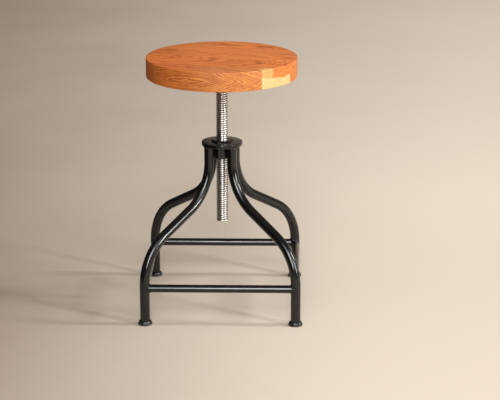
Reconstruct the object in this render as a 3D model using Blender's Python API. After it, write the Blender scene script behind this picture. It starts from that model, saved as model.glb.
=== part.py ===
"""A round wooden stool whose seat screws up and down on a threaded spindle. Metres, +Z up.

The stool stands on z = 0, with the spindle on the Z axis and its front towards -Y. Four legs of bent
tube carry a hub disc and a long hexagon nut. The spindle screws through the nut and carries the seat.
"""

import math

import bmesh
import bpy
from mathutils import Matrix, Vector

# Seat: boards glued edge to edge, then turned round
SEAT_HEIGHT = 0.560
SEAT_DIAMETER = 0.330
SEAT_THICKNESS = 0.042
SEAT_EDGE_ROUND = 0.003
NEAR_EDGE_BOARD = 0.063
FAR_EDGE_BOARD = 0.018
INNER_BOARDS = 3
BOARD_TURN = math.radians(-19.0)

# Steel plate under the seat, and the wood screws through it
PLATE_DIAMETER = 0.140
PLATE_THICKNESS = 0.005
PLATE_CHAMFER = 0.0006
SCREW_COUNT = 4
SCREW_CIRCLE = 0.110
SCREW_DIAMETER = 0.005
SCREW_LENGTH = 0.030
SCREW_TIP = 0.005
SCREW_HEAD_DIAMETER = 0.0095
SCREW_HEAD_HEIGHT = 0.003

# Spindle with a single-start trapezoidal thread, and its weld to the plate
SPINDLE_DIAMETER = 0.026
SPINDLE_LENGTH = 0.330
SPINDLE_CHAMFER = 0.0015
SPINDLE_WELD = 0.005
SPINDLE_WELD_TOE = 0.001
THREAD_PITCH = 0.005
THREAD_DEPTH = 0.00275
THREAD_CREST = 0.00183
THREAD_FLANK = math.radians(15.0)

# Hub disc, and the nut that stands through it
HUB_HEIGHT = 0.370
HUB_THICKNESS = 0.008
HUB_CHAMFER = 0.0008
NUT_ACROSS_FLATS = 0.041
NUT_LENGTH = 0.039
NUT_PROUD = 0.004
NUT_CHAMFER = 0.0018
NUT_TURN = math.radians(10.0)

# Legs, each bent twice by the same angle, with their tops set round the hub a little from the diagonals
LEG_DIAMETER = 0.0213
LEG_WALL = 0.0020
LEG_SPACING = 0.327
LEG_TOP_STRAIGHT = 0.0327
LEG_TOP_TURN = math.radians(-6.0)
LEG_BEND_RADIUS = 0.114
LEG_BEND_ANGLE = math.radians(62.2)
LEG_TO_NUT = 0.0015
LEG_OVERHANG = 0.0015

# Rails between neighbouring legs
RAIL_DIAMETER = 0.0172
RAIL_WALL = 0.0020
RAIL_HEIGHT = 0.0825

# Feet: a plate under each leg, with its weld run up the tube
FOOT_FLANGE = 0.00485
FOOT_THICKNESS = 0.005
FOOT_ROUND = 0.0012
FOOT_WELD = 0.0045
FOOT_WELD_LIP = 0.0006

# Clearances between neighbouring pieces
SEAT_GAP = 0.0003
GLUE_LINE = 0.0003
THREAD_PLAY = 0.0003

# Facets, and the angle from which an edge between two of them shows as an edge
SEAT_SIDES = 64
DISC_SIDES = 32
TUBE_SIDES = 12
BEND_STEPS = 7
FOOT_SIDES = 16
THREAD_SIDES = 12
SCREW_SIDES = 10
HEX_SIDES = 6
ROUND_STEPS = 2
SHARP_ANGLE = math.radians(35.0)
SAME_POINT = 0.000001

# How far a cutter reaches past what it cuts, and the turns of a tap past each end of the nut
CUT_PAST = 0.010
TAP_TURN_COUNT = 2

# Places that follow from the sizes above
SEAT_RADIUS = SEAT_DIAMETER / 2
SEAT_UNDERSIDE = SEAT_HEIGHT - SEAT_THICKNESS
PLATE_TOP = SEAT_UNDERSIDE - SEAT_GAP
PLATE_UNDERSIDE = PLATE_TOP - PLATE_THICKNESS
SPINDLE_RADIUS = SPINDLE_DIAMETER / 2
SPINDLE_ROOT = SPINDLE_RADIUS - THREAD_DEPTH
SPINDLE_END = PLATE_TOP - SPINDLE_LENGTH
TOOTH_TIP = THREAD_CREST / 2
TOOTH_FOOT = TOOTH_TIP + THREAD_DEPTH * math.tan(THREAD_FLANK)
FIRST_TOOTH = SPINDLE_END + SPINDLE_CHAMFER + TOOTH_FOOT
HEX_CORNER = 1 / math.cos(math.pi / HEX_SIDES)
NUT_RADIUS = NUT_ACROSS_FLATS / 2 * HEX_CORNER
NUT_TOP = HUB_HEIGHT + NUT_PROUD
NUT_UNDERSIDE = NUT_TOP - NUT_LENGTH
LEG_RADIUS = LEG_DIAMETER / 2
LEG_CIRCLE = NUT_RADIUS + LEG_TO_NUT + LEG_RADIUS
HUB_RADIUS = LEG_CIRCLE + LEG_RADIUS - LEG_OVERHANG
HUB_UNDERSIDE = HUB_HEIGHT - HUB_THICKNESS
LEG_TOP = HUB_UNDERSIDE - SEAT_GAP
LEG_BOTTOM = FOOT_THICKNESS + SEAT_GAP
FOOT_CIRCLE = LEG_SPACING / math.sqrt(2)
RAIL_RADIUS = RAIL_DIAMETER / 2

# A leg's top, seen from above with its foot on the X axis, and the way from there out to the foot
LEG_TOP_PLACE = Vector((LEG_CIRCLE * math.cos(LEG_TOP_TURN), LEG_CIRCLE * math.sin(LEG_TOP_TURN)))
LEG_WAY = Vector((FOOT_CIRCLE, 0.0)) - LEG_TOP_PLACE
LEG_SPAN = LEG_WAY.length
LEG_TURN = math.atan2(LEG_WAY.y, LEG_WAY.x)

# The S of a leg, in the upright plane through its top and its foot
BEND_OUT = LEG_BEND_RADIUS * (1 - math.cos(LEG_BEND_ANGLE))
BEND_DROP = LEG_BEND_RADIUS * math.sin(LEG_BEND_ANGLE)
LEG_SLANT = (LEG_SPAN - 2 * BEND_OUT) / math.sin(LEG_BEND_ANGLE)
UPPER_BEND_TOP = LEG_TOP - LEG_TOP_STRAIGHT
SLANT_DROP = LEG_SLANT * math.cos(LEG_BEND_ANGLE)
LOWER_BEND_END = UPPER_BEND_TOP - 2 * BEND_DROP - SLANT_DROP

# Each corner of the frame, as its turn about the spindle's axis
CORNERS = {
    "back_right": math.radians(45),
    "back_left": math.radians(135),
    "front_left": math.radians(225),
    "front_right": math.radians(315),
}


def surface(name, colour, roughness, metallic):
    material = bpy.data.materials.new(name)
    material.use_nodes = True
    shader = material.node_tree.nodes["Principled BSDF"]
    shader.inputs["Base Color"].default_value = (*colour, 1.0)
    shader.inputs["Roughness"].default_value = roughness
    shader.inputs["Metallic"].default_value = metallic
    return material


def finished(name, shape, material):
    """Turns a bmesh into a mesh with its faces out, its round faces smooth and its material."""
    bmesh.ops.recalc_face_normals(shape, faces=shape.faces)
    mesh = bpy.data.meshes.new(name)
    shape.to_mesh(mesh)
    shape.free()
    mesh.shade_smooth()
    mesh.set_sharp_from_angle(angle=SHARP_ANGLE)
    mesh.materials.append(material)
    return mesh


def place(name, mesh, parent):
    """Puts a mesh in the scene as a named object under its parent empty."""
    obj = bpy.data.objects.new(name, mesh)
    obj.parent = parent
    bpy.context.scene.collection.objects.link(obj)
    return obj


def piece(name, shape, material, parent):
    return place(name, finished(name, shape, material), parent)


def cutter(name, shape, parent):
    """A guide shape for a Boolean, which isn't part of the stool."""
    obj = piece(name, shape, BLACK_PAINT, parent)
    obj.hide_render = True
    obj.display_type = "WIRE"
    return obj


def combine(obj, operation, tool):
    step = obj.modifiers.new(f"{operation.lower()}_{tool.name}", "BOOLEAN")
    step.operation = operation
    step.object = tool


def pivot(name):
    """An empty on the spindle's axis."""
    obj = bpy.data.objects.new(name, None)
    bpy.context.scene.collection.objects.link(obj)
    return obj


def turned(profile, sides):
    """Turns a profile of (radius, height) points about Z, closed into a ring if it leaves the axis."""
    shape = bmesh.new()
    corners = [shape.verts.new((radius, 0.0, height)) for radius, height in profile]
    edges = [shape.edges.new(pair) for pair in zip(corners, corners[1:])]
    if profile[0][0] > 0:
        edges.append(shape.edges.new((corners[-1], corners[0])))
    bmesh.ops.spin(
        shape, geom=corners + edges, axis=(0, 0, 1), cent=(0, 0, 0), angle=math.tau, steps=sides
    )
    bmesh.ops.remove_doubles(shape, verts=shape.verts, dist=SAME_POINT)
    return shape


def rounded(centre, radius, start, end):
    """Points of an arc in the profile plane, with its angles in degrees."""
    angles = [math.radians(start + (end - start) * i / ROUND_STEPS) for i in range(ROUND_STEPS + 1)]
    return [(centre[0] + radius * math.cos(a), centre[1] + radius * math.sin(a)) for a in angles]


def bar(radius, low, high):
    """Profile of a plain round bar."""
    return [(0.0, low), (radius, low), (radius, high), (0.0, high)]


def chamfered(radius, low, high, chamfer):
    """Profile of a disc with both edges chamfered."""
    rim = [(radius - chamfer, low), (radius, low + chamfer)]
    return [(0.0, low), *rim, (radius, high - chamfer), (radius - chamfer, high), (0.0, high)]


def tube_mouth(shape, outer, inner, matrix):
    """The end face of a tube, or of a solid bar where inner is 0, and the start of every extrusion."""
    rim = bmesh.ops.create_circle(
        shape, cap_ends=inner == 0, radius=outer, segments=TUBE_SIDES, matrix=matrix
    )
    if inner:
        bore = bmesh.ops.create_circle(shape, radius=inner, segments=TUBE_SIDES, matrix=matrix)
        edges = {edge for vert in rim["verts"] + bore["verts"] for edge in vert.link_edges}
        bmesh.ops.bridge_loops(shape, edges=list(edges))
    return list(shape.faces)


def next_mouth(shape, mouth, made):
    """The new end face of a tube, once the old one, now inside the tube, is taken out."""
    inside = [face for face in mouth if any(len(edge.link_faces) > 2 for edge in face.edges)]
    bmesh.ops.delete(shape, geom=inside, context="FACES_ONLY")
    return [item for item in made if isinstance(item, bmesh.types.BMFace)]


def run_straight(shape, mouth, offset):
    made = bmesh.ops.extrude_face_region(shape, geom=mouth)["geom"]
    moved = [item for item in made if isinstance(item, bmesh.types.BMVert)]
    bmesh.ops.translate(shape, verts=moved, vec=offset)
    return next_mouth(shape, mouth, made)


def run_bend(shape, mouth, centre, axis):
    made = bmesh.ops.spin(
        shape, geom=mouth, cent=centre, axis=axis, angle=LEG_BEND_ANGLE, steps=BEND_STEPS
    )["geom_last"]
    return next_mouth(shape, mouth, made)


def bent_leg(outer, inner):
    """A leg above its own foot: straight down from the hub, bent out, slanting, bent back, straight down."""
    shape = bmesh.new()
    mouth = tube_mouth(shape, outer, inner, Matrix.Translation((-LEG_SPAN, 0, LEG_TOP)))
    mouth = run_straight(shape, mouth, Vector((0, 0, -LEG_TOP_STRAIGHT)))
    mouth = run_bend(shape, mouth, (LEG_BEND_RADIUS - LEG_SPAN, 0, UPPER_BEND_TOP), (0, -1, 0))
    slant = Vector((LEG_SLANT * math.sin(LEG_BEND_ANGLE), 0, -SLANT_DROP))
    mouth = run_straight(shape, mouth, slant)
    mouth = run_bend(shape, mouth, (-LEG_BEND_RADIUS, 0, LOWER_BEND_END), (0, 1, 0))
    run_straight(shape, mouth, Vector((0, 0, LEG_BOTTOM - LOWER_BEND_END)))
    return shape


def leg_inset(height):
    """How far a leg's centreline has come in from above its foot, from there up to the slanting run."""
    rise = height - LOWER_BEND_END
    if rise <= 0:
        return 0.0
    if rise <= BEND_DROP:
        return LEG_BEND_RADIUS - math.sqrt(LEG_BEND_RADIUS**2 - rise**2)
    return BEND_OUT + (rise - BEND_DROP) * math.tan(LEG_BEND_ANGLE)


def straight_tube(outer, inner, length):
    """A tube along X, centred on the origin."""
    shape = bmesh.new()
    start = Matrix.Translation((-length / 2, 0, 0)) @ Matrix.Rotation(math.pi / 2, 4, "Y")
    mouth = tube_mouth(shape, outer, inner, start)
    run_straight(shape, mouth, Vector((length, 0, 0)))
    return shape


def threaded(crest, root, tip, foot, first, steps, run_in, low_end, high_end):
    """A right-hand threaded bar, with one tooth wound around it.

    The tooth is crest - root high, and tip and foot are half its width there. Its middle starts at the
    height first and takes that many steps up the helix, and over run_in steps it rises out of the bar at
    each end. low_end and high_end list the plain bar's rings, as (radius, height), going outwards.
    """
    shape = bmesh.new()

    def corner(radius, step, height):
        angle = math.tau * step / THREAD_SIDES
        return shape.verts.new((radius * math.cos(angle), radius * math.sin(angle), height))

    teeth = []
    for step in range(steps + 1):
        share = min(1.0, (step + 1) / (run_in + 1), (steps - step + 1) / (run_in + 1))
        middle = first + THREAD_PITCH * step / THREAD_SIDES
        top = root + share * (crest - root)
        half = foot + share * (tip - foot)
        outline = ((root, -foot), (top, -half), (top, half), (root, foot))
        teeth.append([corner(radius, step, middle + rise) for radius, rise in outline])
    for here, there in zip(teeth, teeth[1:]):
        for i in range(3):
            shape.faces.new((here[i], there[i], there[i + 1], here[i + 1]))
    for step in range(steps - THREAD_SIDES):
        above = step + THREAD_SIDES
        root_flat = (teeth[step][3], teeth[step + 1][3], teeth[above + 1][0], teeth[above][0])
        shape.faces.new(root_flat)

    # Both ends: the tooth's own end face, the stretch of bar up to the first full turn, and the plain bar
    lowest = [tooth[0] for tooth in teeth[: THREAD_SIDES + 1]]
    highest = [tooth[3] for tooth in teeth[-THREAD_SIDES - 1 :]]
    for tooth, edge, rings, start in (
        (teeth[0], lowest, low_end, 0),
        (teeth[-1], highest[::-1], high_end, steps),
    ):
        turn = 1 if start == 0 else -1
        loops = [
            [corner(radius, start + turn * i, height) for i in range(THREAD_SIDES)]
            for radius, height in rings
        ]
        shape.faces.new(tooth)
        step_up = [edge[0], tooth[3] if start == 0 else tooth[0], edge[-1]]
        for below, above in zip([loops[0][-1], loops[0][0], *step_up], [loops[0][0], *step_up]):
            shape.faces.new((edge[-2], below, above))
        for i in range(THREAD_SIDES - 1):
            shape.faces.new((loops[0][i], loops[0][i + 1], edge[i + 1], edge[i]))
        for inner, outer in zip(loops, loops[1:]):
            for i in range(THREAD_SIDES):
                shape.faces.new((inner[i], inner[i - 1], outer[i - 1], outer[i]))
        shape.faces.new(loops[-1])
    return shape


for leftover in list(bpy.data.objects):
    bpy.data.objects.remove(leftover)

BLACK_PAINT = surface("black_paint", (0.018, 0.018, 0.020), 0.32, 0.0)
BRIGHT_STEEL = surface("bright_steel", (0.58, 0.55, 0.50), 0.28, 1.0)
PLAIN_STEEL = surface("plain_steel", (0.36, 0.35, 0.34), 0.45, 1.0)
WARM_WOOD = surface("warm_wood", (0.42, 0.18, 0.06), 0.42, 0.0)

frame = pivot("frame_pivot")
turning = pivot("seat_pivot")

# Feet, with a socket in the weld for the end of each leg
foot_radius = LEG_RADIUS + FOOT_FLANGE
socket = LEG_RADIUS + SEAT_GAP
foot_profile = [
    (0.0, 0.0),
    (foot_radius - FOOT_ROUND, 0.0),
    (foot_radius, FOOT_ROUND),
    (foot_radius, FOOT_THICKNESS - FOOT_ROUND),
    (foot_radius - FOOT_ROUND, FOOT_THICKNESS),
    (socket + FOOT_WELD_LIP, FOOT_THICKNESS + FOOT_WELD),
    (socket, FOOT_THICKNESS + FOOT_WELD),
    (socket, FOOT_THICKNESS),
    (0.0, FOOT_THICKNESS),
]
foot_mesh = finished("foot", turned(foot_profile, FOOT_SIDES), BLACK_PAINT)
spots = {}
for corner_name, turn in CORNERS.items():
    spots[corner_name] = (FOOT_CIRCLE * math.cos(turn), FOOT_CIRCLE * math.sin(turn), 0.0)
    place(f"foot_{corner_name}", foot_mesh, frame).location = spots[corner_name]

# Legs, and a fatter guide around each for the saddles of the rails
leg_mesh = finished("leg", bent_leg(LEG_RADIUS, LEG_RADIUS - LEG_WALL), BLACK_PAINT)
saddles = {}
for corner_name, turn in CORNERS.items():
    saddles[corner_name] = cutter(f"saddle_{corner_name}", bent_leg(LEG_RADIUS + SEAT_GAP, 0), frame)
    for obj in (place(f"leg_{corner_name}", leg_mesh, frame), saddles[corner_name]):
        obj.location = spots[corner_name]
        obj.rotation_euler.z = turn + LEG_TURN

# Rails: the front and back ones run through to the legs, and the side ones also clear those two
rail_corner = Vector((FOOT_CIRCLE, 0.0)) - LEG_WAY.normalized() * leg_inset(RAIL_HEIGHT)
rail_offset = rail_corner.length / math.sqrt(2)
rail_turn = math.atan2(rail_corner.y, rail_corner.x)
rail_sides = {"front": -90, "back": 90, "left": 180, "right": 0}
rail_guides = {}
for side, degrees in rail_sides.items():
    turn = math.radians(degrees) + rail_turn
    middle = (rail_offset * math.cos(turn), rail_offset * math.sin(turn), RAIL_HEIGHT)
    shape = straight_tube(RAIL_RADIUS, RAIL_RADIUS - RAIL_WALL, 2 * rail_offset)
    rail = piece(f"rail_{side}", shape, BLACK_PAINT, frame)
    rail.location = middle
    rail.rotation_euler.z = turn + math.pi / 2
    for corner_name, guide in saddles.items():
        if side in corner_name:
            combine(rail, "DIFFERENCE", guide)
    if side in ("front", "back"):
        shape = straight_tube(RAIL_RADIUS + SEAT_GAP, 0, 2 * rail_offset)
        rail_guides[side] = cutter(f"rail_guide_{side}", shape, frame)
        rail_guides[side].location = middle
        rail_guides[side].rotation_euler.z = rail.rotation_euler.z
    else:
        for guide in rail_guides.values():
            combine(rail, "DIFFERENCE", guide)

# Hub disc, with a hexagon hole for the nut
hub_profile = chamfered(HUB_RADIUS, HUB_UNDERSIDE, HUB_HEIGHT, HUB_CHAMFER)
hub = piece("hub_disc", turned(hub_profile, DISC_SIDES), BLACK_PAINT, frame)
hole_radius = NUT_RADIUS + SEAT_GAP * HEX_CORNER
hole_profile = bar(hole_radius, HUB_UNDERSIDE - CUT_PAST, HUB_HEIGHT + CUT_PAST)
hex_hole = cutter("hex_hole", turned(hole_profile, HEX_SIDES), frame)
hex_hole.rotation_euler.z = NUT_TURN
combine(hub, "DIFFERENCE", hex_hole)

# Nut: a hexagon bar with chamfered corners, tapped to run on the spindle with play on every facet
nut_shape = turned(bar(NUT_RADIUS, NUT_UNDERSIDE, NUT_TOP), HEX_SIDES)
nut = piece("spindle_nut", nut_shape, BLACK_PAINT, frame)
nut.rotation_euler.z = NUT_TURN
blank_profile = chamfered(NUT_RADIUS + SEAT_GAP, NUT_UNDERSIDE, NUT_TOP, NUT_CHAMFER + SEAT_GAP)
blank_profile[0] = (0.0, NUT_UNDERSIDE - CUT_PAST)
blank_profile[-1] = (0.0, NUT_TOP + CUT_PAST)
nut_blank = cutter("nut_blank", turned(blank_profile, DISC_SIDES), frame)
combine(nut, "INTERSECT", nut_blank)
facet = 1 / math.cos(math.pi / THREAD_SIDES)
tap_crest = (SPINDLE_RADIUS + THREAD_PLAY) * facet
tap_root = (SPINDLE_ROOT + THREAD_PLAY) * facet
flank_play = THREAD_PLAY + SPINDLE_RADIUS * (facet - 1) * math.tan(THREAD_FLANK)
tap_tip = TOOTH_TIP - (tap_crest - SPINDLE_RADIUS) * math.tan(THREAD_FLANK) + flank_play
tap_foot = TOOTH_FOOT - (tap_root - SPINDLE_ROOT) * math.tan(THREAD_FLANK) + flank_play
turns_below = math.floor((NUT_UNDERSIDE - FIRST_TOOTH) / THREAD_PITCH) - TAP_TURN_COUNT
tap_first = FIRST_TOOTH + turns_below * THREAD_PITCH
tap_turns = math.ceil(NUT_LENGTH / THREAD_PITCH) + 2 * TAP_TURN_COUNT
tap_last = tap_first + tap_turns * THREAD_PITCH
tap_shape = threaded(
    tap_crest,
    tap_root,
    tap_tip,
    tap_foot,
    tap_first,
    tap_turns * THREAD_SIDES,
    0,
    [(tap_root, tap_first - CUT_PAST)],
    [(tap_root, tap_last + CUT_PAST)],
)
combine(nut, "DIFFERENCE", cutter("nut_tap", tap_shape, frame))

# Spindle: its thread stops below the plate, and its plain top goes up through the plate
thread_room = PLATE_UNDERSIDE - SEAT_GAP - TOOTH_FOOT - FIRST_TOOTH
spindle_shape = threaded(
    SPINDLE_RADIUS,
    SPINDLE_ROOT,
    TOOTH_TIP,
    TOOTH_FOOT,
    FIRST_TOOTH,
    math.floor(thread_room / THREAD_PITCH * THREAD_SIDES),
    THREAD_SIDES // 2,
    [(SPINDLE_ROOT, SPINDLE_END + SPINDLE_CHAMFER), (SPINDLE_ROOT - SPINDLE_CHAMFER, SPINDLE_END)],
    [(SPINDLE_ROOT, PLATE_TOP)],
)
piece("spindle", spindle_shape, BRIGHT_STEEL, turning)

# Weld ring between the spindle and the plate
weld_bore = SPINDLE_RADIUS + SEAT_GAP
weld_top = PLATE_UNDERSIDE - SEAT_GAP
weld_profile = [
    (weld_bore, weld_top),
    (weld_bore + SPINDLE_WELD, weld_top),
    (weld_bore + SPINDLE_WELD_TOE, weld_top - SPINDLE_WELD),
    (weld_bore, weld_top - SPINDLE_WELD),
]
piece("spindle_weld", turned(weld_profile, DISC_SIDES), PLAIN_STEEL, turning)

# Plate under the seat, bored for the spindle and drilled for the screws
plate_radius = PLATE_DIAMETER / 2
plate_bore = SPINDLE_ROOT + SEAT_GAP
plate_profile = chamfered(plate_radius, PLATE_UNDERSIDE, PLATE_TOP, PLATE_CHAMFER)
plate_profile[0] = (plate_bore, PLATE_UNDERSIDE)
plate_profile[-1] = (plate_bore, PLATE_TOP)
plate = piece("seat_plate", turned(plate_profile, DISC_SIDES), PLAIN_STEEL, turning)

# Wood screws, pan head down, and the holes that they need
screw_radius = SCREW_DIAMETER / 2
head_radius = SCREW_HEAD_DIAMETER / 2
head_slope = SCREW_HEAD_HEIGHT / 2
head_top = PLATE_UNDERSIDE - SEAT_GAP
screw_end = head_top + SCREW_LENGTH
screw_profile = [
    (0.0, head_top - SCREW_HEAD_HEIGHT),
    (head_radius - head_slope, head_top - SCREW_HEAD_HEIGHT),
    (head_radius, head_top - SCREW_HEAD_HEIGHT + head_slope),
    (head_radius, head_top),
    (screw_radius, head_top),
    (screw_radius, screw_end - SCREW_TIP),
    (0.0, screw_end),
]
hole_profile = bar(screw_radius + SEAT_GAP, PLATE_UNDERSIDE - CUT_PAST, screw_end + SEAT_GAP)
screw_holes = []
for number in range(1, SCREW_COUNT + 1):
    turn = BOARD_TURN + math.tau * (number - 0.5) / SCREW_COUNT
    spot = Vector((math.cos(turn), math.sin(turn), 0.0)) * SCREW_CIRCLE / 2
    screw_shape = turned(screw_profile, SCREW_SIDES)
    piece(f"seat_screw_{number}", screw_shape, BRIGHT_STEEL, turning).location = spot
    hole = cutter(f"screw_hole_{number}", turned(hole_profile, SCREW_SIDES), turning)
    hole.location = spot
    combine(plate, "DIFFERENCE", hole)
    screw_holes.append(hole)

# Boards: each blank runs across the seat, and the round of the seat is cut through all of them
low_edge = (SEAT_RADIUS - SEAT_EDGE_ROUND, SEAT_UNDERSIDE + SEAT_EDGE_ROUND)
high_edge = (SEAT_RADIUS - SEAT_EDGE_ROUND, SEAT_HEIGHT - SEAT_EDGE_ROUND)
seat_profile = [
    (0.0, SEAT_UNDERSIDE),
    *rounded(low_edge, SEAT_EDGE_ROUND, -90, 0),
    *rounded(high_edge, SEAT_EDGE_ROUND, 0, 90),
    (0.0, SEAT_HEIGHT),
]
seat_round = cutter("seat_round", turned(seat_profile, SEAT_SIDES), turning)
inner_board = (SEAT_DIAMETER - NEAR_EDGE_BOARD - FAR_EDGE_BOARD) / INNER_BOARDS
seams = [-SEAT_RADIUS + NEAR_EDGE_BOARD + i * inner_board for i in range(INNER_BOARDS + 1)]
near_sides = [-SEAT_RADIUS - CUT_PAST, *(seam + GLUE_LINE / 2 for seam in seams)]
far_sides = [*(seam - GLUE_LINE / 2 for seam in seams), SEAT_RADIUS + CUT_PAST]
for number, (near, far) in enumerate(zip(near_sides, far_sides), start=1):
    blank = bmesh.new()
    size = Vector((SEAT_DIAMETER + 2 * CUT_PAST, far - near, SEAT_THICKNESS + 2 * CUT_PAST))
    middle = Vector((0.0, (near + far) / 2, SEAT_UNDERSIDE + SEAT_THICKNESS / 2))
    shaped = Matrix.Translation(middle) @ Matrix.Diagonal((*size, 1.0))
    bmesh.ops.create_cube(blank, size=1.0, matrix=shaped)
    board = piece(f"seat_board_{number}", blank, WARM_WOOD, turning)
    board.rotation_euler.z = BOARD_TURN
    combine(board, "INTERSECT", seat_round)
    for hole in screw_holes:
        combine(board, "DIFFERENCE", hole)
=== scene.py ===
"""Finishes for a screw stool: a black tube frame, a bright threaded spindle and a glued-up wooden seat.

Metres, +Z up. The stool stands on z = 0 with its spindle on the Z axis and its front towards -Y.
"""

import math

import bpy
from mathutils import Matrix, Vector


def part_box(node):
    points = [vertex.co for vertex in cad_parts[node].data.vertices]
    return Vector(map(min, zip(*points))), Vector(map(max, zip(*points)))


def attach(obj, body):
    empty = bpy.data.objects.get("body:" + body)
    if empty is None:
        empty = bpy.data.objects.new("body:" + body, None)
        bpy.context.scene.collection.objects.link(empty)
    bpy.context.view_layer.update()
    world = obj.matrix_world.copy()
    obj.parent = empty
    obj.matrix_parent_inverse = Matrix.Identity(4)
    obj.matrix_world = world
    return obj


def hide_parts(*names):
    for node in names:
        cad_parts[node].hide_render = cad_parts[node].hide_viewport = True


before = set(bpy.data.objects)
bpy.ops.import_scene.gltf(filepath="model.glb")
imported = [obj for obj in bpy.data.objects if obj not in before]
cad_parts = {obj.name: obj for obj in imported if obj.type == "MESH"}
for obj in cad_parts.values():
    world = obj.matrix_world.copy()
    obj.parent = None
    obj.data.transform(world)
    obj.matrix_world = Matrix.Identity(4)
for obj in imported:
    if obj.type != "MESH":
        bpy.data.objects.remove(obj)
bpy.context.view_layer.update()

# Feet. Each is a round plate cut from steel bar under the end of a leg, with its edge softened by the
# heat of the weld that runs around the tube by hand. They are sprayed black with the rest of the frame.
foot_low, foot_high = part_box("foot_back_right")
foot_radius = (foot_high.x - foot_low.x) / 2
foot_reach = (foot_high + foot_low).xy.length / 2
foot_plate = 0.005
foot_edge = 0.0023
foot_edge_steps = 4
foot_edge_end = 70
foot_weld_top = foot_high.z
foot_weld_lip = 0.0005
foot_weld_spread = 0.0031
foot_weld_steps = 7
foot_lump = 0.0005
foot_lumps = 13
lump_unevenness = 0.8
lump_middle = 0.6
lump_drift = 0.5
lump_drifts = 3
lump_start = 0.15
foot_sides = 104
leg_radius = 0.01065
corner_turns = {"back_right": 45, "back_left": 135, "front_left": 225, "front_right": 315}
same_point = 0.00001
soft_angle = math.radians(38)


def edit(obj):
    """Opens one piece in edit mode, with all of it selected and nothing else."""
    bpy.ops.object.select_all(action="DESELECT")
    obj.select_set(True)
    bpy.context.view_layer.objects.active = obj
    bpy.ops.object.mode_set(mode="EDIT")
    bpy.ops.mesh.select_all(action="SELECT")


def close(obj):
    """Closes a piece again, with its points merged, its faces out and its round faces smooth."""
    bpy.ops.mesh.select_all(action="SELECT")
    bpy.ops.mesh.remove_doubles(threshold=same_point)
    bpy.ops.mesh.normals_make_consistent(inside=False)
    bpy.ops.object.mode_set(mode="OBJECT")
    bpy.ops.object.shade_smooth_by_angle(angle=soft_angle)
    return obj


def drawn(name, profile):
    """A line through (radius, height) points beside the axis, drawn from one point, left in edit mode."""
    bpy.ops.object.select_all(action="DESELECT")
    bpy.ops.mesh.primitive_plane_add(size=same_point)
    obj = bpy.context.object
    obj.name = name
    bpy.ops.object.mode_set(mode="EDIT")
    bpy.ops.mesh.merge(type="CENTER")
    bpy.ops.transform.translate(value=(profile[0][0], 0, profile[0][1]))
    for (radius, height), (next_radius, next_height) in zip(profile, profile[1:]):
        step = (next_radius - radius, 0, next_height - height)
        bpy.ops.mesh.extrude_vertices_move(TRANSFORM_OT_translate={"value": step})
    bpy.ops.mesh.select_all(action="SELECT")
    return obj


def turned(name, profile, sides):
    """A round piece, turned from a profile that starts and ends on the axis or returns to its start."""
    obj = drawn(name, profile)
    bpy.ops.mesh.spin(steps=sides, angle=math.tau, center=(0, 0, 0), axis=(0, 0, 1))
    return close(obj)


def arc(centre, radius, start, end, steps):
    """Points of a round edge in a profile, between two angles in degrees."""
    turns = [math.radians(start + (end - start) * step / steps) for step in range(steps + 1)]
    return [(centre[0] + radius * math.cos(turn), centre[1] + radius * math.sin(turn)) for turn in turns]


def copied(obj, name, place):
    """A copy of a piece with its own mesh, moved to its place."""
    copy = obj.copy()
    copy.data = obj.data.copy()
    copy.data.transform(place)
    copy.name = name
    bpy.context.scene.collection.objects.link(copy)
    return copy


def about_axis(degrees):
    return Matrix.Rotation(math.radians(degrees), 4, "Z")


def node(tree, kind, inputs, **settings):
    """Adds a shader node, with each input set to a value or linked to an output."""
    made = tree.nodes.new(f"ShaderNode{kind}")
    for name, value in settings.items():
        setattr(made, name, value)
    for name, value in inputs.items():
        if isinstance(value, bpy.types.NodeSocket):
            tree.links.new(value, made.inputs[name])
        else:
            made.inputs[name].default_value = value
    return made.outputs


def math_node(tree, operation, *values):
    return node(tree, "Math", dict(enumerate(values)), operation=operation)[0]


def eased(tree, value, low, high, to_low=0.0, to_high=1.0):
    """Maps a value from one range to another, smoothly, and holds it at the ends."""
    inputs = {"Value": value, "From Min": low, "From Max": high, "To Min": to_low, "To Max": to_high}
    return node(tree, "MapRange", inputs, interpolation_type="SMOOTHSTEP")["Result"]


def blended(tree, share, first, second):
    """A colour between two others."""
    return node(tree, "Mix", {0: share, 6: first, 7: second}, data_type="RGBA")[2]


def new_group(name, inputs, outputs):
    """An empty node group with named sockets, as (tree, its inputs, its outputs)."""
    tree = bpy.data.node_groups.new(name, "ShaderNodeTree")
    for socket, kind in inputs.items():
        tree.interface.new_socket(socket, in_out="INPUT", socket_type=f"NodeSocket{kind}")
    for socket, kind in outputs.items():
        tree.interface.new_socket(socket, in_out="OUTPUT", socket_type=f"NodeSocket{kind}")
    return tree, tree.nodes.new("NodeGroupInput").outputs, tree.nodes.new("NodeGroupOutput").inputs


def new_material(name, roughness, metallic):
    """A plain material, as (material, its tree, its shader's inputs, Object coordinates)."""
    material = bpy.data.materials.new(name)
    material.use_nodes = True
    tree = material.node_tree
    shader = tree.nodes["Principled BSDF"].inputs
    shader["Roughness"].default_value = roughness
    shader["Metallic"].default_value = metallic
    return material, tree, shader, node(tree, "TexCoord", {})["Object"]


# Most of a noise texture lies between these
noise_low = 0.3
noise_high = 0.7


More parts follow.
